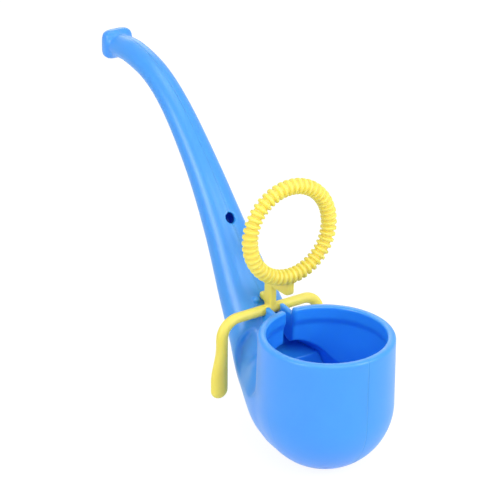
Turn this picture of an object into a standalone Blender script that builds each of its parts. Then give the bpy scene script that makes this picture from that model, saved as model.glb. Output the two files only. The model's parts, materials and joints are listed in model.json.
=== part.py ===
"""Bubble pipe: a two-half moulded bowl and stem, an air baffle inside, and a wand that tips into the bowl.

Metres, +Z up. The origin is the middle of the flat under the bowl, the bowl's axis is Z, the stem
leaves towards +Y and the parting plane of the two halves is X = 0.
"""
from math import copysign, cos, pi, sin

import bmesh
import bpy
from mathutils import Matrix, Vector

# Bowl
RIM_HEIGHT = 0.0520
RIM_RADIUS = 0.0255
BELLY_RADIUS = 0.0259
BASE_CUT = 0.0013
WALL = 0.0017
LIP_WALL = 0.0029
LIP_DEPTH = 0.0044
LIP_BLEND = 0.0034
RIM_ROUND = 0.0010

# Slot in the back of the bowl, which the wand's neck swings through, open below into the stem's root
SLOT_WIDTH = 0.0042
SLOT_DEPTH = 0.0150
SLOT_REACH = 0.0055

# Stem: distance behind the bowl, height over the rim, half width and half depth of its oval section.
# The mouthpiece's lip is squared off to a rounded rectangle.
STEM_STATIONS = (
    (-0.0105, -0.0304, 0.0227, 0.0211),
    (0.0058, -0.0263, 0.0162, 0.0158),
    (0.0150, -0.0170, 0.0139, 0.0109),
    (0.0259, -0.0030, 0.0120, 0.0087),
    (0.0405, 0.0169, 0.0090, 0.0070),
    (0.0563, 0.0365, 0.0069, 0.0057),
    (0.0743, 0.0549, 0.0059, 0.0048),
    (0.0897, 0.0652, 0.0056, 0.0045),
    (0.1055, 0.0695, 0.0057, 0.0046),
    (0.1163, 0.0697, 0.0057, 0.0046),
)
MOUTH_FLARE = 0.0027
MOUTH_BAND = 0.0021
MOUTH_ROUND = 0.0012
MOUTH_HALF_WIDTH = 0.0064
MOUTH_HALF_DEPTH = 0.0061
JET_RISE = 0.0231
JET_RADIUS = 0.0020

# Wand pivot: the crossbar lies between the ears behind the slot and the front of the stem
BAR_RADIUS = 0.0020
PIVOT_DROP = 0.0041
STEM_GAP = 0.0003
SEAT_GAP = 0.0003
EAR_STEP = 0.0002
EAR_THICKNESS = 0.0020
EAR_DROP = 0.0020
EAR_SLOPE = 0.0012
BUMP_RADIUS = 0.0014
BUMP_RISE = 0.0021
BUMP_PROUD = 0.0004

# Wand, measured from the pivot
RING_RADIUS = 0.0179
RING_FORWARD = 0.0111
RING_RISE = 0.0359
RIB_COUNT = 50
RIDGE_RADIUS = 0.0029
VALLEY_RADIUS = 0.0020
NECK_THICKNESS = 0.0028
NECK_BACK = 0.0029
NUB_RISE = 0.0037
NUB_HEIGHT = 0.0032
BRACKET_RISE = 0.0102
BRACKET_ROUND_LENGTH = 0.0070
BRACKET_ROUND_HEIGHT = 0.0045
BRACKET_OVERHANG = 0.0018
SHOULDER_RISE = 0.0130
LEVER_RADIUS = 0.00225
LEVER_REACH = 0.0224
LEVER_BEND = 0.0072
LEVER_DROP = 0.0318
PADDLE_LENGTH = 0.0215
PADDLE_TAPER = 0.0140
PADDLE_FLARE = 0.00145
PADDLE_SHIFT = 0.0011

# Air baffle: a bent plate across the root of the stem, with a shelf that runs back from its ridge
BAFFLE_THICKNESS = 0.0016
BAFFLE_FORWARD = 0.0014
BAFFLE_RIDGE_DROP = 0.0220
BAFFLE_SHELF = 0.0090
BAFFLE_SHELF_SLOPE = 0.25
BAFFLE_SLOPE = 0.85
BAFFLE_LEAN = 0.09
BAFFLE_GAP = 0.0003

# Fineness of the facets
BOWL_SIDES = 48
STEM_SIDES = 28
BORE_SIDES = 20
STEM_STEPS = 4
TUBE_SIDES = 12
ARC_STEPS = 6
CUT_MARGIN = 0.0100

BELLY_HEIGHT = BELLY_RADIUS - BASE_CUT
ACROSS = Vector((1, 0, 0))


def plastic(name, colour, roughness):
    mat = bpy.data.materials.new(name)
    mat.use_nodes = True
    shader = mat.node_tree.nodes["Principled BSDF"]
    shader.inputs["Base Color"].default_value = (*colour, 1)
    shader.inputs["Roughness"].default_value = roughness
    shader.inputs["Metallic"].default_value = 0
    return mat


def solid(name, bm):
    """A new object from a closed bmesh, with its faces turned out."""
    bmesh.ops.recalc_face_normals(bm, faces=bm.faces)
    mesh = bpy.data.meshes.new(name)
    bm.to_mesh(mesh)
    bm.free()
    obj = bpy.data.objects.new(name, mesh)
    bpy.context.scene.collection.objects.link(obj)
    return obj


def loft(name, rings, closed=False):
    """A solid skinned through rings of equal point counts, with flat ends unless it closes on itself."""
    bm = bmesh.new()
    loops = [[bm.verts.new(point) for point in ring] for ring in rings]
    spans = list(zip(loops, loops[1:]))
    if closed:
        spans.append((loops[-1], loops[0]))
    else:
        bm.faces.new(loops[0])
        bm.faces.new(loops[-1])
    for low, high in spans:
        for i in range(len(low)):
            j = (i + 1) % len(low)
            bm.faces.new((low[i], low[j], high[j], high[i]))
    return solid(name, bm)


def turned(name, profile):
    """A solid turned about Z from (radius, height) points."""
    turns = [2 * pi * (k + 0.5) / BOWL_SIDES for k in range(BOWL_SIDES)]
    return loft(name, [[(r * cos(a), r * sin(a), z) for a in turns] for r, z in profile])


def plate(name, outline, low_x, high_x):
    """A flat plate from a (y, z) outline, between two X planes."""
    return loft(name, [[(x, y, z) for y, z in outline] for x in (low_x, high_x)])


def block(name, low, high):
    outline = ((low[1], low[2]), (high[1], low[2]), (high[1], high[2]), (low[1], high[2]))
    return plate(name, outline, low[0], high[0])


def arc(centre, radii, start, end, steps=ARC_STEPS):
    """Points of an elliptic arc between two angles, given in quarter turns."""
    angles = [(start + (end - start) * k / steps) * pi / 2 for k in range(steps + 1)]
    return [(centre[0] + radii[0] * cos(a), centre[1] + radii[1] * sin(a)) for a in angles]


def ease(share):
    """A smooth step from 0 to 1."""
    share = min(max(share, 0), 1)
    return share * share * (3 - 2 * share)


def combine(body, tool, operation):
    """Join a tool to a body, or cut it away, and remove the tool."""
    modifier = body.modifiers.new(operation.lower(), "BOOLEAN")
    modifier.operation = operation
    modifier.solver = "EXACT"
    modifier.object = tool
    graph = bpy.context.evaluated_depsgraph_get()
    mesh = bpy.data.meshes.new_from_object(body.evaluated_get(graph))
    body.modifiers.clear()
    body.data = mesh
    bpy.data.objects.remove(tool)


def finish(obj, mat, angle=0.6):
    obj.data.materials.clear()
    obj.data.materials.append(mat)
    obj.data.shade_smooth()
    obj.data.set_sharp_from_angle(angle=angle)


def spline(rows, steps):
    """Rows of numbers along a smooth curve through the given rows."""
    rows = [Vector(row) for row in rows]
    last = len(rows) - 1
    slopes = []
    for i in range(len(rows)):
        before, after = max(i - 1, 0), min(i + 1, last)
        slopes.append((rows[after] - rows[before]) / (after - before))
    curve = []
    for i in range(last):
        for k in range(steps):
            t = k / steps
            blend = ease(t)
            pull = slopes[i] * (t * (1 - t) ** 2) - slopes[i + 1] * (t * t * (1 - t))
            curve.append(rows[i] * (1 - blend) + rows[i + 1] * blend + pull)
    return curve + [rows[-1]]


def stem_sections():
    """Centre, forward normal, half width, half depth and squareness along the stem, up to the mouthpiece."""
    ball = BELLY_RADIUS - WALL / 4
    rows = [(0, BELLY_HEIGHT, ball, ball)]
    rows += [(RIM_RADIUS + back, RIM_HEIGHT + rise, w, d) for back, rise, w, d in STEM_STATIONS]
    curve = spline(rows, STEM_STEPS)
    sections = []
    for i, (y, z, width, depth) in enumerate(curve):
        before, after = curve[max(i - 1, 0)], curve[min(i + 1, len(curve) - 1)]
        along = Vector((0, after[0] - before[0], after[1] - before[1])).normalized()
        sections.append((Vector((0, y, z)), Vector((0, -along.z, along.y)), width, depth, 0))
    return sections


def oval(width, depth, square, sides):
    """Points round an oval section, an ellipse at squareness 0 and a rounded rectangle at 1."""
    power = 1 / (1 + square)
    points = []
    for k in range(sides):
        turn = 2 * pi * (k + 0.5) / sides
        across = copysign(abs(cos(turn)) ** power, cos(turn))
        out = copysign(abs(sin(turn)) ** power, sin(turn))
        points.append((width * across, depth * out))
    return points


def stem_rings(sections, inset, sides):
    rings = []
    for centre, normal, width, depth, square in sections:
        points = oval(width - inset, depth - inset, square, sides)
        rings.append([centre + ACROSS * across + normal * out for across, out in points])
    return rings


def mouthpiece(end, past_end=0):
    """Sections of the mouthpiece's flared lip, or of a straight run through it."""
    centre, normal, width, depth, square = end
    along = Vector((0, normal.z, -normal.y))
    length = MOUTH_FLARE + MOUTH_BAND + MOUTH_ROUND
    if past_end:
        return [(centre + along * (length + past_end), normal, width, depth, square)]
    wider, deeper = MOUTH_HALF_WIDTH - width, MOUTH_HALF_DEPTH - depth
    steps = [(MOUTH_FLARE * k / ARC_STEPS, ease(k / ARC_STEPS), 0) for k in range(1, ARC_STEPS + 1)]
    edge = arc((-MOUTH_ROUND, length - MOUTH_ROUND), (MOUTH_ROUND, MOUTH_ROUND), 0, 1)
    steps += [(run, 1, step) for step, run in edge]
    sections = []
    for run, share, step in steps:
        sizes = (width + wider * share + step, depth + deeper * share + step)
        sections.append((centre + along * run, normal, *sizes, share))
    return sections


def front_of_stem(sections, height, offset=0, across=0):
    """The point at a height that lies an offset out from the front of the stem, with the normal there."""
    points = []
    for centre, normal, width, depth, _ in sections:
        share = (1 - (across / width) ** 2) ** 0.5
        points.append((centre + ACROSS * across + normal * (depth * share + offset), normal))
    for (low, _), (high, normal) in reversed(list(zip(points, points[1:]))):
        if low.z <= height <= high.z:
            return low.lerp(high, (height - low.z) / (high.z - low.z)), normal


def bowl_outside():
    top, side = RIM_HEIGHT - RIM_ROUND, RIM_RADIUS - RIM_ROUND
    profile = arc((side, top), (RIM_ROUND, RIM_ROUND), 1, 0, 3)
    profile += arc((0, BELLY_HEIGHT), (BELLY_RADIUS, BELLY_RADIUS), 0, -0.96, 10)
    return turned("bowl_outside", profile)


def bowl_inside():
    lip = RIM_RADIUS - LIP_WALL
    neck = RIM_RADIUS - WALL
    shoulder = RIM_HEIGHT - LIP_DEPTH
    profile = [(lip + RIM_ROUND, RIM_HEIGHT + CUT_MARGIN)]
    profile += arc((lip + RIM_ROUND, RIM_HEIGHT - RIM_ROUND), (RIM_ROUND, RIM_ROUND), 1, 2, 3)
    for k in range(5):
        profile.append((lip + (neck - lip) * ease(k / 4), shoulder - LIP_BLEND * k / 4))
    depth = BELLY_HEIGHT - WALL
    profile += arc((0, BELLY_HEIGHT), (BELLY_RADIUS - WALL, depth), 0, -0.96, 9)
    return turned("bowl_inside", profile)


def ear(sections, pivot, side):
    """A web beside the slot that rises behind the bowl as an ear and runs under the bar to the stem."""
    inner = SLOT_WIDTH / 2 + EAR_STEP
    root = RIM_RADIUS - WALL / 2
    back = pivot.y - BAR_RADIUS - SEAT_GAP
    top = RIM_HEIGHT - EAR_DROP
    stem, normal = front_of_stem(sections, pivot.z)
    inside = stem - normal * WALL / 2
    outline = ((root, RIM_HEIGHT - SLOT_DEPTH), (root, top - EAR_SLOPE), (back, top),
               (back, pivot.z), (inside.y, pivot.z), (inside.y, RIM_HEIGHT - SLOT_DEPTH))
    faces = sorted((side * inner, side * (inner + EAR_THICKNESS)))
    return plate("ear", outline, *faces)


def bump(sections, pivot, side):
    """A small round bump on the front of the stem, in line with an ear."""
    across = SLOT_WIDTH / 2 + EAR_THICKNESS / 2
    centre, _ = front_of_stem(sections, pivot.z + BUMP_RISE, BUMP_PROUD, across)
    bm = bmesh.new()
    place = Matrix.Translation((side * across, centre.y, centre.z))
    bmesh.ops.create_uvsphere(bm, u_segments=10, v_segments=6, radius=BUMP_RADIUS, matrix=place)
    return solid("bump", bm)


def rod(name, start, end, radius, sides=TUBE_SIDES):
    along = (end - start).normalized()
    across = along.orthogonal().normalized()
    other = along.cross(across)
    turns = [2 * pi * (k + 0.5) / sides for k in range(sides)]
    circle = [across * (radius * cos(a)) + other * (radius * sin(a)) for a in turns]
    return loft(name, [[end_point + point for point in circle] for end_point in (start, end)])


def pipe_body(sections, pivot):
    """The whole bowl and stem, before it is parted into halves."""
    body = bowl_outside()
    outside = stem_rings(sections + mouthpiece(sections[-1]), 0, STEM_SIDES)
    combine(body, loft("stem_outside", outside), "UNION")
    reach = BELLY_RADIUS + CUT_MARGIN
    combine(body, block("base", (-reach, -reach, -CUT_MARGIN), (reach, reach, 0)), "DIFFERENCE")
    for side in (-1, 1):
        combine(body, ear(sections, pivot, side), "UNION")
        combine(body, bump(sections, pivot, side), "UNION")
    bore = stem_rings(sections + mouthpiece(sections[-1], CUT_MARGIN), WALL, BORE_SIDES)
    combine(body, bowl_inside(), "DIFFERENCE")
    combine(body, loft("stem_bore", bore), "DIFFERENCE")

    seat = ACROSS * (SLOT_WIDTH / 2 + EAR_STEP + EAR_THICKNESS + SEAT_GAP)
    bar_seat = rod("bar_seat", pivot - seat, pivot + seat, BAR_RADIUS + SEAT_GAP, 2 * TUBE_SIDES)
    combine(body, bar_seat, "DIFFERENCE")
    slot_low = (-SLOT_WIDTH / 2, RIM_RADIUS - CUT_MARGIN, RIM_HEIGHT - SLOT_DEPTH)
    slot_high = (SLOT_WIDTH / 2, RIM_RADIUS + SLOT_REACH, RIM_HEIGHT + CUT_MARGIN)
    combine(body, block("slot", slot_low, slot_high), "DIFFERENCE")

    jet, normal = front_of_stem(sections, RIM_HEIGHT + JET_RISE)
    aim = (ring_centre(pivot) - jet).normalized()
    combine(body, rod("jet", jet - aim * (2 * WALL), jet + aim * CUT_MARGIN, JET_RADIUS), "DIFFERENCE")
    return body


def part_halves(body, mat):
    """Keep the left half and mirror it for the right one."""
    far = RIM_RADIUS + STEM_STATIONS[-1][0] + 2 * CUT_MARGIN
    tall = RIM_HEIGHT + STEM_STATIONS[-1][1] + 2 * CUT_MARGIN
    reach = BELLY_RADIUS + CUT_MARGIN
    combine(body, block("right_side", (0, -reach, -CUT_MARGIN), (reach, far, tall)), "DIFFERENCE")
    body.name = "pipe_left_half"
    finish(body, mat)
    right = bpy.data.objects.new("pipe_right_half", body.data.copy())
    bpy.context.scene.collection.objects.link(right)
    right.data.transform(Matrix.Scale(-1, 4, ACROSS))
    right.data.flip_normals()


def air_baffle(sections, mat):
    """A bent plate that closes the stem's root below the jet, so that breath leaves by the jet."""
    y = RIM_RADIUS - BAFFLE_FORWARD
    z = RIM_HEIGHT - BAFFLE_RIDGE_DROP
    rise = CUT_MARGIN * 2
    up = (y + rise, z + rise * BAFFLE_SLOPE)
    drop = z + CUT_MARGIN
    low = (y - drop * BAFFLE_LEAN, z - drop)
    thick = BAFFLE_THICKNESS
    shelf = (y + BAFFLE_SHELF, z + BAFFLE_SHELF * BAFFLE_SHELF_SLOPE)
    outline = (low, (y, z), shelf, up, (up[0] + thick, up[1]), (shelf[0] + thick / 2, shelf[1] - thick),
               (y + thick, z - thick), (low[0] + thick, low[1]))
    baffle = plate("air_baffle", outline, -BELLY_RADIUS, BELLY_RADIUS)
    inside = loft("root_inside", stem_rings(sections, WALL + BAFFLE_GAP, BORE_SIDES))
    combine(baffle, inside, "INTERSECT")
    finish(baffle, mat)


def ring_centre(pivot):
    return pivot + Vector((0, -RING_FORWARD, RING_RISE))


def ribbed_ring():
    turns = [2 * pi * k / TUBE_SIDES for k in range(TUBE_SIDES)]
    rings = []
    for i in range(2 * RIB_COUNT):
        tube = VALLEY_RADIUS if i % 2 else RIDGE_RADIUS
        angle = pi * i / RIB_COUNT
        outward = Vector((cos(angle), 0, sin(angle)))
        centre = outward * RING_RADIUS + Vector((0, -RING_FORWARD, RING_RISE))
        rings.append([centre + outward * (tube * cos(a)) + Vector((0, tube * sin(a), 0)) for a in turns])
    return loft("bubble_wand", rings, closed=True)


def crossbar():
    """The bar with its two levers, as one bent rod with flattened paddles."""
    straight = LEVER_REACH - LEVER_BEND
    rows = [(x, 0, 0, 1) for x in (0, straight / 2)]
    rows += [(x, z, a, b) for (x, z), (a, b) in zip(
        arc((straight, -LEVER_BEND), (LEVER_BEND, LEVER_BEND), 1, 0), arc((0, 0), (1, 1), 1, 0))]
    rows = [(x, z, a, b, BAR_RADIUS + (LEVER_RADIUS - BAR_RADIUS) * a) for x, z, a, b in rows]
    for k in range(ARC_STEPS + 1):
        share = ease(k / ARC_STEPS)
        drop = LEVER_DROP - PADDLE_LENGTH + PADDLE_TAPER * k / ARC_STEPS
        rows.append((LEVER_REACH + PADDLE_SHIFT * share, -drop, 1, 0, LEVER_RADIUS + PADDLE_FLARE * share))
    tip = LEVER_RADIUS + PADDLE_FLARE
    for x, z in arc((0, 0), (1, 1), 0, -0.9):
        rows.append((LEVER_REACH + PADDLE_SHIFT, tip - LEVER_DROP + tip * z, 1, 0, tip * x))
    turns = [2 * pi * (k + 0.5) / TUBE_SIDES for k in range(TUBE_SIDES)]
    rings = []
    for x, z, side, up, half in rows:
        deep = min(half, LEVER_RADIUS)
        normal = Vector((side, 0, up))
        centre = Vector((x, 0, z))
        rings.append([centre + normal * (half * cos(a)) + Vector((0, deep * sin(a), 0)) for a in turns])
    other = [[Vector((-p.x, p.y, p.z)) for p in ring] for ring in rings[:0:-1]]
    return loft("crossbar", other + rings)


def neck_and_bracket(sections, pivot):
    """The neck up from the bar, its nub against the stem and the bracket that carries the ring."""
    half = NECK_THICKNESS / 2
    front, back = -0.9 * BAR_RADIUS, NECK_BACK
    nub_half = NUB_HEIGHT / 2
    nub = front_of_stem(sections, pivot.z + NUB_RISE, nub_half + STEM_GAP)[0].y - pivot.y
    top = RING_RISE - RING_RADIUS + VALLEY_RADIUS / 5
    tip = -RING_FORWARD - BRACKET_OVERHANG
    corner = (BRACKET_ROUND_LENGTH, BRACKET_ROUND_HEIGHT)
    outline = [(front, 0), (front, BRACKET_RISE)]
    outline += arc((tip + corner[0], BRACKET_RISE + corner[1]), corner, -1, -2)
    outline += [(tip, top)]
    outline += [(VALLEY_RADIUS / 2 - RING_FORWARD, top), (back, SHOULDER_RISE), (back, NUB_RISE + nub_half)]
    outline += arc((nub, NUB_RISE), (nub_half, nub_half), 1, -1)
    outline += [(back, NUB_RISE - nub_half), (-front, 0)]
    return plate("neck_and_bracket", outline, -half, half)


def bubble_wand(sections, pivot, mat):
    wand = ribbed_ring()
    combine(wand, neck_and_bracket(sections, pivot), "UNION")
    combine(wand, crossbar(), "UNION")
    wand.location = pivot
    finish(wand, mat)


def main():
    for obj in list(bpy.data.objects):
        bpy.data.objects.remove(obj)
    blue = plastic("blue_polypropylene", (0.05, 0.31, 0.93), 0.35)
    yellow = plastic("yellow_polypropylene", (0.91, 0.77, 0.08), 0.40)
    sections = stem_sections()
    pivot, _ = front_of_stem(sections, RIM_HEIGHT - PIVOT_DROP, BAR_RADIUS + STEM_GAP)
    part_halves(pipe_body(sections, pivot), blue)
    air_baffle(sections, blue)
    bubble_wand(sections, pivot, yellow)
    print("pivot at", [round(v, 5) for v in pivot])


main()
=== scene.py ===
import json
from math import cos, pi, radians, sin

import bmesh
import bpy
import numpy as np
from mathutils import Matrix, Vector


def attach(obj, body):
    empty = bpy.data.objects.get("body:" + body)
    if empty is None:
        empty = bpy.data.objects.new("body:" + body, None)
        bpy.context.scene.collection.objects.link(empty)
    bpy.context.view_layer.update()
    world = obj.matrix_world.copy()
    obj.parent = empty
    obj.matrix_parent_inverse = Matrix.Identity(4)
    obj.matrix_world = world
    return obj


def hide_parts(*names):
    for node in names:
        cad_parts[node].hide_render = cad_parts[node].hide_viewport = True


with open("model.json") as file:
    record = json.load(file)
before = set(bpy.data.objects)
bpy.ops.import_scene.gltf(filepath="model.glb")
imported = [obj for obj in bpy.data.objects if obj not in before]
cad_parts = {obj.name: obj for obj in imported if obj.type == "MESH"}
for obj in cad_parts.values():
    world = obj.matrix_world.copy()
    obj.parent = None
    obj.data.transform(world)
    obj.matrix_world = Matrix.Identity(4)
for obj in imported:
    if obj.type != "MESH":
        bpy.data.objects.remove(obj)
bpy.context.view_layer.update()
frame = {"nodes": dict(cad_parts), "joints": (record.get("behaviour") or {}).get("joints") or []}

scene = bpy.context.scene
scene.view_settings.view_transform = "Standard"
print("frame loaded:", len(frame["nodes"]), "nodes")


# Shapes are worked out in millimetres as distance fields, negative inside the plastic.
# Fields melt into each other with small blends, as a moulding's corners do.
def meltJoin(a, b, blend):
    share = np.clip(0.5 + 0.5 * (b - a) / blend, 0, 1)
    return b * (1 - share) + a * share - blend * share * (1 - share)


def meltCut(a, b, blend):
    return -meltJoin(-a, -b, blend)


def ease(t):
    t = np.clip(t, 0, 1)
    return t * t * (3 - 2 * t)


def outlineField(points, y, z):
    # signed distance to a closed (y, z) outline
    best = np.full(np.broadcast(y, z).shape, np.inf)
    inside = np.zeros(best.shape, bool)
    for (ay, az), (by, bz) in zip(points, points[1:] + points[:1]):
        ey, ez = by - ay, bz - az
        t = np.clip(((y - ay) * ey + (z - az) * ez) / (ey * ey + ez * ez), 0, 1)
        best = np.minimum(best, np.hypot(y - ay - ey * t, z - az - ez * t))
        if ez:
            crosses = ((az > z) != (bz > z)) & (y < ay + ey * (z - az) / ez)
            inside ^= crosses
    return np.where(inside, -best, best)


def gridLines(low, high, step):
    return np.linspace(low, high, int(round((high - low) / step)) + 1)


skinning = {"passes": 3, "probe": 0.05, "leastSlope": 0.2, "longestPull": 0.3}


def skinField(field, xs, ys, zs):
    # a quad skin on the field's zero surface: one point in each crossed cell, then pulled onto the surface
    values = field(xs[:, None, None], ys[None, :, None], zs[None, None, :])
    values = np.broadcast_to(values, (len(xs), len(ys), len(zs)))
    inside = values < 0
    cells = tuple(n - 1 for n in values.shape)
    corners = [(i, j, k) for i in (0, 1) for j in (0, 1) for k in (0, 1)]
    total = np.zeros(cells, np.int8)
    for i, j, k in corners:
        total += inside[i:i + cells[0], j:j + cells[1], k:k + cells[2]]
    ci, cj, ck = np.nonzero((total > 0) & (total < len(corners)))
    number = np.full(cells, -1, np.int64)
    number[ci, cj, ck] = np.arange(len(ci))

    # each point starts at the mean of where its cell's edges are crossed
    points = np.zeros((len(ci), 3))
    hits = np.zeros(len(ci))
    for a in corners:
        for axis in range(3):
            if a[axis]:
                continue
            b = tuple(a[n] + (n == axis) for n in range(3))
            va = values[ci + a[0], cj + a[1], ck + a[2]]
            vb = values[ci + b[0], cj + b[1], ck + b[2]]
            hit = (va < 0) != (vb < 0)
            t = np.where(hit, va / np.where(hit, va - vb, 1), 0)
            pa = np.stack([xs[ci + a[0]], ys[cj + a[1]], zs[ck + a[2]]], 1)
            pb = np.stack([xs[ci + b[0]], ys[cj + b[1]], zs[ck + b[2]]], 1)
            points += np.where(hit[:, None], pa + (pb - pa) * t[:, None], 0)
            hits += hit
    points /= hits[:, None]

    # each crossed grid edge gives one quad between the four cells round it
    faces = []
    for axis in range(3):
        low = [slice(1, -1)] * 3
        low[axis] = slice(0, -1)
        high = list(low)
        high[axis] = slice(1, None)
        start, end = inside[tuple(low)], inside[tuple(high)]
        ei, ej, ek = np.nonzero(start != end)
        leaving = start[ei, ej, ek]
        spot = [ei + (axis != 0), ej + (axis != 1), ek + (axis != 2)]
        u, v = (axis + 1) % 3, (axis + 2) % 3
        ring = []
        for du, dv in ((-1, -1), (0, -1), (0, 0), (-1, 0)):
            at = list(spot)
            at[u] = at[u] + du
            at[v] = at[v] + dv
            ring.append(number[tuple(at)])
        ring = np.stack(ring, 1)
        faces.append(np.where(leaving[:, None], ring, ring[:, ::-1]))

    probe, pull = skinning["probe"], skinning["longestPull"]
    for _ in range(skinning["passes"]):
        x, y, z = points.T
        here = field(x, y, z)
        slope = np.stack([field(x + probe, y, z) - field(x - probe, y, z),
                          field(x, y + probe, z) - field(x, y - probe, z),
                          field(x, y, z + probe) - field(x, y, z - probe)], 1) / (2 * probe)
        steep = np.maximum((slope ** 2).sum(1), skinning["leastSlope"])
        points -= slope * np.clip(here / steep, -pull, pull)[:, None]
    return points, np.concatenate(faces)


def pieceFromSkin(name, points, faces, move=(0, 0, 0)):
    mesh = bpy.data.meshes.new(name)
    mesh.from_pydata(((points + np.array(move)) / 1000).tolist(), [], faces.tolist())
    mesh.validate()
    mesh.shade_smooth()
    piece = bpy.data.objects.new(name, mesh)
    scene.collection.objects.link(piece)
    return piece


# Bowl: round bottom, slightly tapered side, a lip that is thicker than the wall below it
bowl = {
    "rimHeight": 52.0, "rimRadius": 25.45, "bellyRadius": 25.84, "bellyHeight": 24.6,
    "wall": 1.7, "lipWall": 3.05, "lipDepth": 4.4, "lipBlend": 3.4,
    "rimRound": 1.3, "baseRound": 0.6, "insideBlend": 0.5, "edgeRound": 0.7,
    "slotHalf": 2.1, "slotDepth": 15.0, "slotStart": 10.0, "slotReach": 5.5,
    "slotRound": 0.9, "slotCorner": 0.3,
}


def bowlOutside(x, y, z):
    r = np.sqrt(x * x + y * y)
    up = np.clip((z - bowl["bellyHeight"]) / (bowl["rimHeight"] - bowl["bellyHeight"]), 0, 2)
    side = r - bowl["bellyRadius"] - (bowl["rimRadius"] - bowl["bellyRadius"]) * up
    ball = np.sqrt(r * r + (z - bowl["bellyHeight"]) ** 2) - bowl["bellyRadius"]
    return np.where(z > bowl["bellyHeight"], side, ball)


def bowlInside(x, y, z):
    r = np.sqrt(x * x + y * y)
    lip = bowl["rimRadius"] - bowl["lipWall"]
    neck = bowl["rimRadius"] - bowl["wall"]
    belly = bowl["bellyRadius"] - bowl["wall"]
    floor = bowl["bellyHeight"] - bowl["wall"]
    shoulder = bowl["rimHeight"] - bowl["lipDepth"] - bowl["lipBlend"]
    under = np.clip((z - bowl["bellyHeight"]) / (shoulder - bowl["bellyHeight"]), 0, 1)
    rise = np.clip((z - shoulder) / bowl["lipBlend"], 0, 1)
    radius = belly + (neck - belly) * under + (lip - neck) * (0.5 * rise + 0.5 * ease(rise))
    dip = np.sqrt((r / belly) ** 2 + ((z - bowl["bellyHeight"]) / floor) ** 2)
    return np.where(z > bowl["bellyHeight"], r - radius, (dip - 1) * floor)


# Stem: oval stations as back of bowl, height over rim, half width, half depth
stem = {
    "stations": ((-10.45, -30.4, 22.7, 21.1), (5.85, -26.3, 16.2, 15.8), (15.05, -17.0, 13.9, 10.9),
                 (26.4, -3.0, 11.65, 8.7), (41.0, 16.9, 8.65, 7.0), (56.35, 36.5, 6.9, 5.7),
                 (74.35, 54.9, 5.9, 4.8), (89.75, 65.2, 5.6, 4.5), (105.55, 69.5, 5.7, 4.6),
                 (116.35, 69.7, 5.7, 4.6)),
    "stationSteps": 60, "lipRows": 50, "lipPast": 6.0,
    "mapStep": 0.25, "mapY": (-32, 158), "mapZ": (-6, 136), "farAhead": 1e3,
    "lipLength": 5.9, "lipFlare": 2.7, "lipHalfWidth": 6.4, "lipHalfDepth": 5.95, "lipRound": 2.0,
    "rootBlend": 0.8, "bellyBlend": 3.0, "bellyStart": 2.0, "bellyRise": 8.0,
    "jetRise": 23.1, "jetRadius": 2.0, "jetReach": 4.5, "jetRound": 0.6,
    "hollowMiddle": (25.5, 33.5), "hollowRadius": 13.0, "hollowDepth": 2.4,
    "hollowStep": 1.9, "hollowRamp": 11.0, "hollowFoot": 22.0, "hollowFootRun": 10.0,
    "hollowSide": 7.0, "hollowSideRun": 4.0,
    "grooveDepth": 0.09, "grooveHalf": 0.26,
}


def headings(rows):
    along = np.gradient(rows[:, :2], axis=0)
    return along / np.hypot(along[:, 0], along[:, 1])[:, None]


def stemCurve():
    # smooth rows (y, z, half width, half depth) through the stations, then straight out of the mouthpiece
    ball = bowl["bellyRadius"] - bowl["wall"] / 4
    rows = [(0, bowl["bellyHeight"], ball, ball)]
    rows += [(bowl["rimRadius"] + a, bowl["rimHeight"] + b, w, d) for a, b, w, d in stem["stations"]]
    rows = np.array(rows, float)
    slopes = np.gradient(rows, axis=0)
    t = (np.arange(stem["stationSteps"]) / stem["stationSteps"])[:, None]
    curve = []
    for i in range(len(rows) - 1):
        pull = slopes[i] * (t * (1 - t) ** 2) - slopes[i + 1] * (t * t * (1 - t))
        curve.append(rows[i] * (1 - ease(t)) + rows[i + 1] * ease(t) + pull)
    curve = np.concatenate(curve + [rows[-1:]])
    along = (curve[-1] - curve[-2])[:2]
    along /= np.hypot(*along)
    run = np.linspace(0, stem["lipLength"] + stem["lipPast"], stem["lipRows"])[1:, None]
    grow = ease(run / stem["lipFlare"])
    lip = np.array([stem["lipHalfWidth"], stem["lipHalfDepth"]])
    tail = np.concatenate([curve[-1, :2] + along * run, curve[-1, 2:] + (lip - curve[-1, 2:]) * grow], 1)
    bore = np.repeat(curve[-1:, 2:], len(tail), 0)
    insides = np.concatenate([curve[:, 2:], bore]) - bowl["wall"]
    square = np.concatenate([np.zeros(len(curve)), grow[:, 0]])
    sizes = np.column_stack([np.concatenate([curve[:, 2:], tail[:, 2:]]), insides, square])
    return np.concatenate([curve, tail]), sizes, curve[-1, :2] + along * stem["lipLength"], along


stemRows, stemSizes, mouthEnd, mouthAlong = stemCurve()


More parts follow.
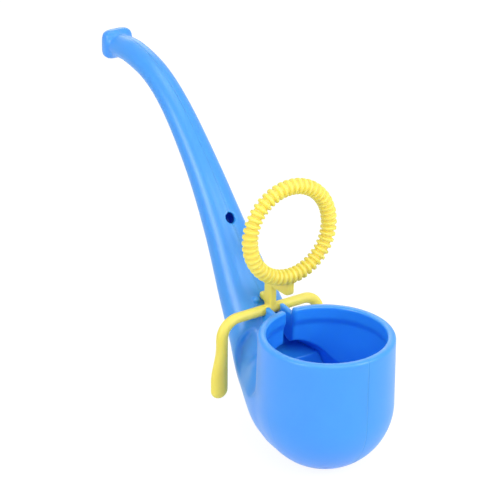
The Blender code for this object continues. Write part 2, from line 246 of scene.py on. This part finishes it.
def buildStemMap():
    # for each (y, z): offset from the stem's middle line, outer and inner half sizes, squareness,
    # and the distance past the stem's start
    step = stem["mapStep"]
    ys, zs = np.arange(*stem["mapY"], step), np.arange(*stem["mapZ"], step)
    heading = headings(stemRows)
    layers = np.zeros((7, len(ys), len(zs)))
    for i, y in enumerate(ys):
        near = ((y - stemRows[:, 0]) ** 2)[:, None] + (zs[None, :] - stemRows[:, 1][:, None]) ** 2
        k = np.clip(near.argmin(0), 1, len(stemRows) - 2)
        dy, dz = y - stemRows[k, 0], zs - stemRows[k, 1]
        ahead = dy * heading[k, 0] + dz * heading[k, 1]
        pace = np.hypot(*(stemRows[k + 1, :2] - stemRows[k - 1, :2]).T) / 2
        share = np.clip(ahead / pace, -0.5, 0.5)[:, None]
        before, after = stemSizes[k] - stemSizes[k - 1], stemSizes[k + 1] - stemSizes[k]
        sizes = stemSizes[k] + np.where(share > 0, after, before) * share
        before, after = heading[k] - heading[k - 1], heading[k + 1] - heading[k]
        turn = heading[k] + np.where(share > 0, after, before) * share
        layers[0, i] = dz * turn[:, 0] - dy * turn[:, 1]
        layers[1:6, i] = sizes.T
        layers[6, i] = np.where(k == 1, ahead, stem["farAhead"])
    return ys[0], zs[0], step, layers


stemMap = buildStemMap()
print("stem map ready")


def readStemMap(y, z):
    y0, z0, step, layers = stemMap
    lastCell = 1.001
    fy = np.clip((y - y0) / step, 0, layers.shape[1] - lastCell)
    fz = np.clip((z - z0) / step, 0, layers.shape[2] - lastCell)
    fy, fz = np.broadcast_arrays(fy, fz)
    i, j = fy.astype(int), fz.astype(int)
    a, b = fy - i, fz - j
    return (layers[:, i, j] * (1 - a) * (1 - b) + layers[:, i + 1, j] * a * (1 - b)
            + layers[:, i, j + 1] * (1 - a) * b + layers[:, i + 1, j + 1] * a * b)


def ovalField(x, n, width, depth, square=0.0):
    # an ellipse, squared off towards a rounded rectangle
    power = 2 + 2 * square
    u, v = np.abs(x) / width, np.abs(n) / depth
    rim = np.maximum(u ** power + v ** power, 1e-9) ** (1 / power)
    slope = np.hypot(u ** (power - 1) / width, v ** (power - 1) / depth) * rim ** (1 - power)
    return (rim - 1) / np.maximum(slope, 1e-3)


def frontOfStem(height, offset=0.0, across=0.0):
    # how far back, at a height, a point lies that is an offset out from the front of the stem
    heading = headings(stemRows)
    out = stemRows[:, 3] * np.sqrt(np.maximum(1 - (across / stemRows[:, 2]) ** 2, 0)) + offset
    y = stemRows[:, 0] - heading[:, 1] * out
    z = stemRows[:, 1] + heading[:, 0] * out
    k = np.nonzero((z[:-1] <= height) & (height <= z[1:]))[0][-1]
    return y[k] + (y[k + 1] - y[k]) * (height - z[k]) / (z[k + 1] - z[k])


hinge = frame["joints"][0]["pos_m"]
pivotY, pivotZ = hinge[1] * 1000, hinge[2] * 1000

# Ears beside the slot, the bar's seat in them, and the two bumps on the stem
seat = {
    "barRadius": 2.0, "gap": 0.3, "seatRound": 0.3,
    "earInner": 2.3, "earThickness": 2.0, "earDrop": 2.0, "earSlope": 1.2, "earRound": 0.7, "earBlend": 0.8,
    "bumpRadius": 1.4, "bumpRise": 2.1, "bumpAcross": 3.1, "bumpProud": 0.4, "bumpBlend": 0.15,
}


def earField(x, y, z):
    root = bowl["rimRadius"] - bowl["wall"] / 2
    back = pivotY - seat["barRadius"] - seat["gap"]
    top = bowl["rimHeight"] - seat["earDrop"]
    low = bowl["rimHeight"] - bowl["slotDepth"]
    inside = frontOfStem(pivotZ, -bowl["wall"] / 2)
    outline = [(root, low), (root, top - seat["earSlope"]), (back, top), (back, pivotZ), (inside, pivotZ),
               (inside, low)]
    middle = seat["earInner"] + seat["earThickness"] / 2
    flat = np.abs(np.abs(x) - middle) - seat["earThickness"] / 2
    web = meltCut(outlineField(outline, y, z), flat, seat["earRound"])
    bar = np.hypot(y - pivotY, z - pivotZ) - seat["barRadius"] - seat["gap"]
    return meltCut(web, -bar, seat["seatRound"])


def drawnFlank(x, y, z, wider=0.0):
    # how far each flank is drawn in beside the bowl, with its sharper edge along the back of the stem
    inward = stem["hollowRadius"] + wider - np.hypot(y - stem["hollowMiddle"][0], z - stem["hollowMiddle"][1])
    drawn = ease(inward / stem["hollowStep"]) * (1 - ease((inward - stem["hollowStep"]) / stem["hollowRamp"]))
    above = ease((z - stem["hollowFoot"]) / stem["hollowFootRun"])
    outward = ease((np.abs(x) - stem["hollowSide"]) / stem["hollowSideRun"])
    return drawn * stem["hollowDepth"] * above * outward


def pipeField(x, y, z):
    across, width, depth, boreWidth, boreDepth, square, ahead = readStemMap(y, z)
    stemSolid = np.maximum(ovalField(x, across, width, depth, square), -ahead) + drawnFlank(x, y, z)
    stemHollow = np.maximum(ovalField(x, across, boreWidth, boreDepth), -ahead)
    stemHollow = stemHollow + drawnFlank(x, y, z, bowl["wall"])  # wider, so that the wall stays thick
    end = (y - mouthEnd[0]) * mouthAlong[0] + (z - mouthEnd[1]) * mouthAlong[1]
    stemSolid = meltCut(stemSolid, end, stem["lipRound"])

    # bowl and stem meet in a fine crease on the flanks and run into each other under the belly
    belly = (1 - ease(z / stem["bellyRise"] - 1)) * ease((y - stem["bellyStart"]) / stem["bellyRise"])
    soft = stem["rootBlend"] + (stem["bellyBlend"] - stem["rootBlend"]) * belly
    cup = meltCut(bowlOutside(x, y, z), z - bowl["rimHeight"], bowl["rimRound"])
    solid = meltJoin(cup, stemSolid, soft)
    solid = meltJoin(solid, earField(x, y, z), seat["earBlend"])
    bumpZ = pivotZ + seat["bumpRise"]
    bumpY = frontOfStem(bumpZ, seat["bumpProud"], seat["bumpAcross"])
    bump = np.sqrt((np.abs(x) - seat["bumpAcross"]) ** 2 + (y - bumpY) ** 2 + (z - bumpZ) ** 2)
    solid = meltJoin(solid, bump - seat["bumpRadius"], seat["bumpBlend"])
    solid = meltCut(solid, -z, bowl["baseRound"])

    hollow = meltJoin(bowlInside(x, y, z), stemHollow, bowl["insideBlend"])
    shell = meltCut(solid, -hollow, bowl["edgeRound"])

    slotEnd = bowl["rimRadius"] + bowl["slotReach"]
    slotLength = np.maximum(y - slotEnd, bowl["slotStart"] - y)
    slot = meltCut(np.abs(x) - bowl["slotHalf"], slotLength, bowl["slotCorner"])
    slot = meltCut(slot, bowl["rimHeight"] - bowl["slotDepth"] - z, bowl["slotCorner"])
    shell = meltCut(shell, -slot, bowl["slotRound"])

    # the jet hole in the front of the stem, aimed at the middle of the ring
    jetZ = bowl["rimHeight"] + stem["jetRise"]
    jetY = frontOfStem(jetZ)
    aimY, aimZ = ringPlace[1] - jetY, ringPlace[2] - jetZ
    reach = np.hypot(aimY, aimZ)
    aimY, aimZ = aimY / reach, aimZ / reach
    out = (y - jetY) * aimY + (z - jetZ) * aimZ
    off = np.sqrt(x * x + ((y - jetY) * aimZ - (z - jetZ) * aimY) ** 2) - stem["jetRadius"]
    shell = meltCut(shell, -np.maximum(off, np.abs(out) - stem["jetReach"]), stem["jetRound"])

    # the parting line: a fine groove all round, where the two halves are welded
    return shell + stem["grooveDepth"] * np.clip(1 - np.abs(x) / stem["grooveHalf"], 0, 1)


def partHalf(name, points, faces, side, node, plastic):
    own = faces[points[faces][:, :, 0].mean(1) * side > 1e-6]
    used, own = np.unique(own, return_inverse=True)
    piece = pieceFromSkin(name, points[used], own.reshape(-1, 4))
    bm = bmesh.new()
    bm.from_mesh(piece.data)
    rim = [e for e in bm.edges if e.is_boundary]
    bmesh.ops.triangle_fill(bm, edges=rim, use_beauty=True, normal=(-side, 0, 0))
    bmesh.ops.recalc_face_normals(bm, faces=bm.faces)
    for e in rim:
        e.smooth = False
    for f in bm.faces:
        f.smooth = True
    bm.to_mesh(piece.data)
    bm.free()
    piece.data.materials.append(plastic)
    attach(piece, "pipe")
    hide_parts(node)
    print(name, len(piece.data.polygons), "faces")


# Colours are written as sRGB hex
def linear(hexColour):
    parts = [int(hexColour[i:i + 2], 16) / 255 for i in (1, 3, 5)]
    return tuple(c / 12.92 if c <= 0.04045 else ((c + 0.055) / 1.055) ** 2.4 for c in parts) + (1,)


def addNode(tree, kind, inputs=(), **settings):
    # each input is a socket to link or a plain value, and the name or number of where it goes
    node = tree.nodes.new(kind)
    for key, value in settings.items():
        setattr(node, key, value)
    for value, slot in inputs:
        if isinstance(value, bpy.types.NodeSocket):
            tree.links.new(value, node.inputs[slot])
        else:
            node.inputs[slot].default_value = value
    return node


# Polypropylene out of a polished mould: satin, soft highlights, a little light carried through thin walls
# and faint flow marks in the colour. The grain is coarser than the real one, or it wouldn't show.
polypropylene = {"ior": 1.49, "specular": 0.9, "sheenSpread": 0.05, "reliefStrength": 0.06, "reliefMm": 0.1,
                 "flowDetail": 2.0, "grainDetail": 3.0}
blueLook = {"deep": "#2595F6", "pale": "#2E9AF9", "roughness": 0.35,
            "glow": 0.5, "glowTint": (0.4, 0.7, 1.0), "glowMm": 4.0, "grainMm": 0.6, "flowMm": 14.0}
yellowLook = {"deep": "#ECD656", "pale": "#F0DD60", "roughness": 0.50,
              "glow": 0.9, "glowTint": (1.0, 0.9, 0.45), "glowMm": 5.0, "grainMm": 0.6, "flowMm": 10.0}


def mouldedPlastic(name, look):
    mat = bpy.data.materials.new(name)
    mat.use_nodes = True
    tree = mat.node_tree
    shader = tree.nodes["Principled BSDF"].inputs
    coords = addNode(tree, "ShaderNodeTexCoord").outputs["Object"]
    flow = addNode(tree, "ShaderNodeTexNoise", [
        (coords, "Vector"), (1000 / look["flowMm"], "Scale"), (polypropylene["flowDetail"], "Detail")])
    tint = addNode(tree, "ShaderNodeMix", [
        (flow.outputs[0], 0), (linear(look["deep"]), 6), (linear(look["pale"]), 7)], data_type="RGBA")
    grain = addNode(tree, "ShaderNodeTexNoise", [
        (coords, "Vector"), (1000 / look["grainMm"], "Scale"), (polypropylene["grainDetail"], "Detail")])
    sheen = addNode(tree, "ShaderNodeMapRange", [
        (grain.outputs[0], "Value"), (look["roughness"] - polypropylene["sheenSpread"], "To Min"),
        (look["roughness"] + polypropylene["sheenSpread"], "To Max")])
    relief = addNode(tree, "ShaderNodeBump", [
        (grain.outputs[0], "Height"), (polypropylene["reliefStrength"], "Strength"),
        (polypropylene["reliefMm"] / 1000, "Distance")])
    tree.links.new(tint.outputs[2], shader["Base Color"])
    tree.links.new(sheen.outputs["Result"], shader["Roughness"])
    tree.links.new(relief.outputs["Normal"], shader["Normal"])
    shader["IOR"].default_value = polypropylene["ior"]
    shader["Specular IOR Level"].default_value = polypropylene["specular"]
    shader["Subsurface Weight"].default_value = look["glow"]
    shader["Subsurface Radius"].default_value = look["glowTint"]
    shader["Subsurface Scale"].default_value = look["glowMm"] / 1000
    return mat


bluePolypropylene = mouldedPlastic("bluePolypropylene", blueLook)
yellowPolypropylene = mouldedPlastic("yellowPolypropylene", yellowLook)

# Wand sizes, measured from the hinge
wand = {
    "ringRadius": 17.9, "ringForward": 11.1, "ringRise": 35.9, "ringLean": -1.0,
    "ribCount": 50, "ridge": 3.05, "valley": 2.15, "ribFoot": 0.1, "ribTop": 0.8,
    "ribSteps": 14, "tubeSides": 36,
    "neckHalf": 1.4, "neckFront": 1.8, "neckBack": 2.9, "heelRise": 1.6, "shoulderRise": 13.0,
    "nubRise": 3.7, "nubHalf": 1.6, "nubBlend": 0.5, "plateRound": 0.7, "barBlend": 0.9,
    "bracketRise": 9.9, "bracketLength": 3.2, "bracketHeight": 1.8, "bracketOverhang": 1.8, "cornerSteps": 6,
    "barRadius": seat["barRadius"],
    "leverRadius": 2.25, "leverReach": 22.4, "leverBend": 7.2, "leverDrop": 31.8,
    "paddleLength": 21.5, "paddleTaper": 14.0, "paddleFlare": 1.3, "paddleShift": 1.1,
    "grid": ((-28.2, 28.2, 0.4), (-14.4, 7.2, 0.4), (-33.2, 20.0, 0.4)),
}
ringPlace = (0, pivotY - wand["ringForward"], pivotZ + wand["ringRise"])

# Pipe: one skin with close lines at the parting plane, then split there into the two halves
pipeGrid = {"seamLines": (0.06, 0.14, 0.24, 0.40, 0.65, 1.0, 1.45), "side": (1.9, 27.51), "step": 0.6,
            "y": (-27.0, 149.4), "z": (-1.2, 130.2), "seamHalf": 0.055}
xLines = np.concatenate([pipeGrid["seamLines"], np.arange(*pipeGrid["side"], pipeGrid["step"])])
xLines = np.concatenate([-xLines[::-1], xLines])
yLines, zLines = (gridLines(*pipeGrid[axis], pipeGrid["step"]) for axis in "yz")
points, faces = skinField(pipeField, xLines, yLines, zLines)
points[np.abs(points[:, 0]) < pipeGrid["seamHalf"], 0] = 0
partHalf("pipeLeftHalf", points, faces, -1, "pipe_left_half", bluePolypropylene)
partHalf("pipeRightHalf", points, faces, 1, "pipe_right_half", bluePolypropylene)

# Air baffle: a bent plate across the root of the stem
baffle = {
    "thickness": 1.6, "forward": 1.4, "ridgeDrop": 22.0, "shelf": 9.0,
    "shelfSlope": 0.25, "slope": 0.85, "lean": 0.09,
    "upReach": 20.0, "downReach": 10.0, "gap": 0.15, "edgeRound": 0.4,
    "grid": ((-18.9, 18.9, 0.6), (19.8, 48.0, 0.5), (1.0, 49.5, 0.5)),
}


def baffleField(x, y, z):
    by = bowl["rimRadius"] - baffle["forward"]
    bz = bowl["rimHeight"] - baffle["ridgeDrop"]
    up = (by + baffle["upReach"], bz + baffle["upReach"] * baffle["slope"])
    drop = bz + baffle["downReach"]
    low = (by - drop * baffle["lean"], bz - drop)
    thick = baffle["thickness"]
    shelf = (by + baffle["shelf"], bz + baffle["shelf"] * baffle["shelfSlope"])
    outline = [low, (by, bz), shelf, up, (up[0] + thick, up[1]), (shelf[0] + thick / 2, shelf[1] - thick),
               (by + thick, bz - thick), (low[0] + thick, low[1])]
    across, _, _, boreWidth, boreDepth, _, _ = readStemMap(y, z)
    room = ovalField(x, across, boreWidth - baffle["gap"], boreDepth - baffle["gap"])
    room = room + drawnFlank(x, y, z, bowl["wall"])
    return meltCut(outlineField(outline, y, z), room, baffle["edgeRound"])


points, faces = skinField(baffleField, *(gridLines(*lines) for lines in baffle["grid"]))
airBaffle = pieceFromSkin("airBaffle", points, faces)
airBaffle.data.materials.append(bluePolypropylene)
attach(airBaffle, "pipe")
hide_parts("air_baffle")
print("airBaffle", len(faces), "faces")


def leverField(x, y, z):
    # bar, bend and lever as one rod that flattens into a paddle
    x = np.abs(x)
    bend = wand["leverBend"]
    straight = wand["leverReach"] - bend
    tip = wand["leverRadius"] + wand["paddleFlare"]
    end = -wand["leverDrop"] + tip
    share = ease((-z - wand["leverDrop"] + wand["paddleLength"]) / wand["paddleTaper"])
    middle = wand["leverReach"] + wand["paddleShift"] * share
    down = np.where(z < end, np.hypot(x - middle, z - end), np.abs(x - middle))
    half = wand["leverRadius"] + wand["paddleFlare"] * share
    lever = ovalField(down, y, half, wand["leverRadius"])
    turn = np.arctan2(z + bend, np.maximum(x - straight, 1e-6)) / (pi / 2)
    thick = wand["leverRadius"] + (wand["barRadius"] - wand["leverRadius"]) * np.clip(turn, 0, 1)
    corner = np.hypot(np.abs(np.hypot(x - straight, z + bend) - bend), y) - thick
    bar = np.hypot(z, y) - wand["barRadius"]
    return np.where(x < straight, bar, np.where(z < -bend, lever, corner))


def wandField(x, y, z):
    front, back = -wand["neckFront"], wand["neckBack"]
    top = wand["ringRise"] - wand["ringRadius"] + wand["valley"] / 5  # the bracket bites into the ring
    tip = -wand["ringForward"] - wand["bracketOverhang"]
    rise = wand["bracketRise"]
    turns = [pi / 2 * k / wand["cornerSteps"] for k in range(wand["cornerSteps"] + 1)]
    corner = [(tip + wand["bracketLength"] * (1 - sin(t)), rise + wand["bracketHeight"] * (1 - cos(t)))
              for t in turns]
    outline = [(front, 0), (front, rise)] + corner + [
        (tip, top), (wand["valley"] / 2 - wand["ringForward"], top), (back, wand["shoulderRise"]),
        (back, wand["heelRise"]), (-front, 0)]
    plate = outlineField(outline, y, z)
    nubY = frontOfStem(pivotZ + wand["nubRise"], wand["nubHalf"] + seat["gap"]) - pivotY
    nub = np.hypot(y - np.clip(y, 0, nubY), z - wand["nubRise"]) - wand["nubHalf"]
    plate = meltJoin(plate, nub, wand["nubBlend"])
    plate = meltCut(plate, np.abs(x) - wand["neckHalf"], wand["plateRound"])
    return meltJoin(plate, leverField(x, y, z), wand["barBlend"])


points, faces = skinField(wandField, *(gridLines(*lines) for lines in wand["grid"]))
wandArms = pieceFromSkin("wandArms", points, faces, (0, pivotY, pivotZ))
wandArms.data.materials.append(yellowPolypropylene)
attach(wandArms, "wand")
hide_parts("bubble_wand")
print("wandArms", len(faces), "faces")

# Ring: a tube round a circle whose thickness swells at every rib
ringSizes = {
    "Ring Radius": wand["ringRadius"] / 1000, "Ridge Radius": wand["ridge"] / 1000,
    "Valley Radius": wand["valley"] / 1000, "Rib Count": wand["ribCount"], "Steps Per Rib": wand["ribSteps"],
    "Tube Sides": wand["tubeSides"],
}


def ribbedRingTree(sizes, plastic):
    tree = bpy.data.node_groups.new("ribbedRing", "GeometryNodeTree")
    tree.is_modifier = True
    for label, value in sizes.items():
        kind = "NodeSocketInt" if isinstance(value, int) else "NodeSocketFloat"
        tree.interface.new_socket(label, in_out="INPUT", socket_type=kind)
    tree.interface.new_socket("Geometry", in_out="OUTPUT", socket_type="NodeSocketGeometry")

    size = addNode(tree, "NodeGroupInput").outputs
    count = addNode(tree, "ShaderNodeMath", [
        (size["Rib Count"], 0), (size["Steps Per Rib"], 1)], operation="MULTIPLY")
    path = addNode(tree, "GeometryNodeCurvePrimitiveCircle", [
        (count.outputs[0], "Resolution"), (size["Ring Radius"], "Radius")])
    index = addNode(tree, "GeometryNodeInputIndex")
    phase = addNode(tree, "ShaderNodeMath", [
        (index.outputs[0], 0), (size["Steps Per Rib"], 1)], operation="DIVIDE")
    angle = addNode(tree, "ShaderNodeMath", [(phase.outputs[0], 0), (2 * pi, 1)], operation="MULTIPLY")
    wave = addNode(tree, "ShaderNodeMath", [(angle.outputs[0], 0)], operation="COSINE")
    height = addNode(tree, "ShaderNodeMapRange", [(wave.outputs[0], "Value"), (-1.0, "From Min")])
    rib = addNode(tree, "ShaderNodeMapRange", [
        (height.outputs[0], "Value"), (wand["ribFoot"], "From Min"), (wand["ribTop"], "From Max"),
        (size["Valley Radius"], "To Min"), (size["Ridge Radius"], "To Max")], interpolation_type="SMOOTHSTEP")
    tube = addNode(tree, "GeometryNodeCurvePrimitiveCircle", [
        (size["Tube Sides"], "Resolution"), (1.0, "Radius")])
    ring = addNode(tree, "GeometryNodeCurveToMesh", [
        (path.outputs[0], "Curve"), (tube.outputs[0], "Profile Curve"), (rib.outputs["Result"], "Scale")])
    stand = addNode(tree, "GeometryNodeTransform", [
        (ring.outputs[0], "Geometry"), ((pi / 2 + radians(wand["ringLean"]), 0, 0), "Rotation"),
        (Vector(ringPlace) / 1000, "Translation")])
    smooth = addNode(tree, "GeometryNodeSetShadeSmooth", [(stand.outputs[0], "Geometry")])
    real = addNode(tree, "GeometryNodeRealizeInstances", [(smooth.outputs[0], "Geometry")])
    dressed = addNode(tree, "GeometryNodeSetMaterial", [(real.outputs[0], "Geometry"), (plastic, "Material")])
    addNode(tree, "NodeGroupOutput", [(dressed.outputs[0], 0)])
    return tree


def plainMesh(name, tree, sizes):
    holder = bpy.data.objects.new(name, bpy.data.meshes.new(name))
    scene.collection.objects.link(holder)
    modifier = holder.modifiers.new(name, "NODES")
    modifier.node_group = tree
    sockets = {item.name: item.identifier for item in tree.interface.items_tree if item.in_out == "INPUT"}
    for label, value in sizes.items():
        modifier[sockets[label]] = value
    graph = bpy.context.evaluated_depsgraph_get()
    mesh = bpy.data.meshes.new_from_object(holder.evaluated_get(graph))
    holder.modifiers.clear()
    holder.data = mesh
    return holder


wandRing = plainMesh("wandRing", ribbedRingTree(ringSizes, yellowPolypropylene), ringSizes)
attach(wandRing, "wand")
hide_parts("bubble_wand")
print("wandRing", len(wandRing.data.polygons), "faces")

# Studio: white floor and surroundings, and soft boxes round the object
studio = {
    "softBoxes": {  # place from the point the camera aims at, width and height in metres, watts
        "leftBox": ((-0.717, -0.127, 0.438), 0.30, 0.40, 2.1),
        "frontBox": ((-0.14, -0.62, 0.54), 0.30, 0.30, 1.2),
        "rightBox": ((0.33, -0.57, 0.37), 0.16, 0.40, 2.0),
        "topBox": ((0.05, 0.02, 0.75), 0.40, 0.40, 0.9),
        "backBox": ((0.394, 0.68, 0.318), 0.40, 0.30, 0.6),
    },
    "worldLight": 0.57, "floorHalf": 6, "floorColour": "#F4F4F4", "floorShow": 0.8, "floorGlow": 1.12,
    "azimuth": -35.08, "elevation": 24.96, "roll": 0.77, "distance": 807.8, "aim": (-0.125, 49.635, 66.68),
    "lens": 152.48, "sensor": 36, "clipEnd": 20,
}
aimPoint = Vector(studio["aim"]) / 1000

for name, (offset, width, height, power) in studio["softBoxes"].items():
    lamp = bpy.data.lights.new(name, "AREA")
    lamp.shape = "RECTANGLE"
    lamp.size, lamp.size_y = width, height
    lamp.energy = power
    box = bpy.data.objects.new(name, lamp)
    box.location = aimPoint + Vector(offset)
    box.rotation_euler = (-Vector(offset)).to_track_quat("-Z", "Y").to_euler()
    scene.collection.objects.link(box)


def seenDirectly(tree):
    # 1 where the camera, a reflection or a clear piece looks, 0 for the light that falls on the object
    rays = addNode(tree, "ShaderNodeLightPath").outputs
    seen = addNode(tree, "ShaderNodeMath", [
        (rays["Is Camera Ray"], 0), (rays["Is Glossy Ray"], 1)], operation="MAXIMUM")
    seen = addNode(tree, "ShaderNodeMath", [
        (seen.outputs[0], 0), (rays["Is Transmission Ray"], 1)], operation="MAXIMUM")
    return seen.outputs[0]


world = bpy.data.worlds.new("whiteRoom")
world.use_nodes = True
scene.world = world
room = world.node_tree
sky = room.nodes["Background"].inputs
shown = addNode(room, "ShaderNodeMapRange", [(seenDirectly(room), "Value"), (studio["worldLight"], "To Min")])
room.links.new(shown.outputs["Result"], sky["Strength"])
sky["Color"].default_value = (1, 1, 1, 1)

# Matt white paper, shown nearly white but dark enough to keep the object's shadow
half = studio["floorHalf"]
floorCorners = [(-half, -half, 0), (half, -half, 0), (half, half, 0), (-half, half, 0)]
floorMesh = bpy.data.meshes.new("floor")
floorMesh.from_pydata(floorCorners, [], [(0, 1, 2, 3)])
floor = bpy.data.objects.new("floor", floorMesh)
scene.collection.objects.link(floor)
paper = bpy.data.materials.new("whitePaper")
paper.use_nodes = True
sheet = paper.node_tree
matt = sheet.nodes["Principled BSDF"]
matt.inputs["Base Color"].default_value = linear(studio["floorColour"])
matt.inputs["Roughness"].default_value = 0.9
matt.inputs["Specular IOR Level"].default_value = 0.0
show = addNode(sheet, "ShaderNodeMath", [
    (seenDirectly(sheet), 0), (studio["floorShow"], 1)], operation="MULTIPLY")
glow = addNode(sheet, "ShaderNodeEmission", [(studio["floorGlow"], "Strength")])
mixed = addNode(sheet, "ShaderNodeMixShader", [
    (show.outputs[0], 0), (matt.outputs[0], 1), (glow.outputs[0], 2)])
sheet.links.new(mixed.outputs[0], sheet.nodes["Material Output"].inputs["Surface"])
floorMesh.materials.append(paper)

# Camera at the photograph's angle
a, e, r = radians(studio["azimuth"]), radians(studio["elevation"]), radians(studio["roll"])
back = Vector((sin(a) * cos(e), -cos(a) * cos(e), sin(e)))
right = Vector((cos(a), sin(a), 0))
up = back.cross(right)
rolledRight = right * cos(r) + up * sin(r)
rolledUp = up * cos(r) - right * sin(r)
lens = bpy.data.cameras.new("camera")
lens.lens = studio["lens"]
lens.sensor_width = studio["sensor"]
lens.clip_end = studio["clipEnd"]
camera = bpy.data.objects.new("camera", lens)
turn = Matrix((rolledRight, rolledUp, back)).transposed().to_4x4()
camera.matrix_world = Matrix.Translation(aimPoint + back * studio["distance"] / 1000) @ turn
scene.collection.objects.link(camera)
scene.camera = camera
print("studio ready")
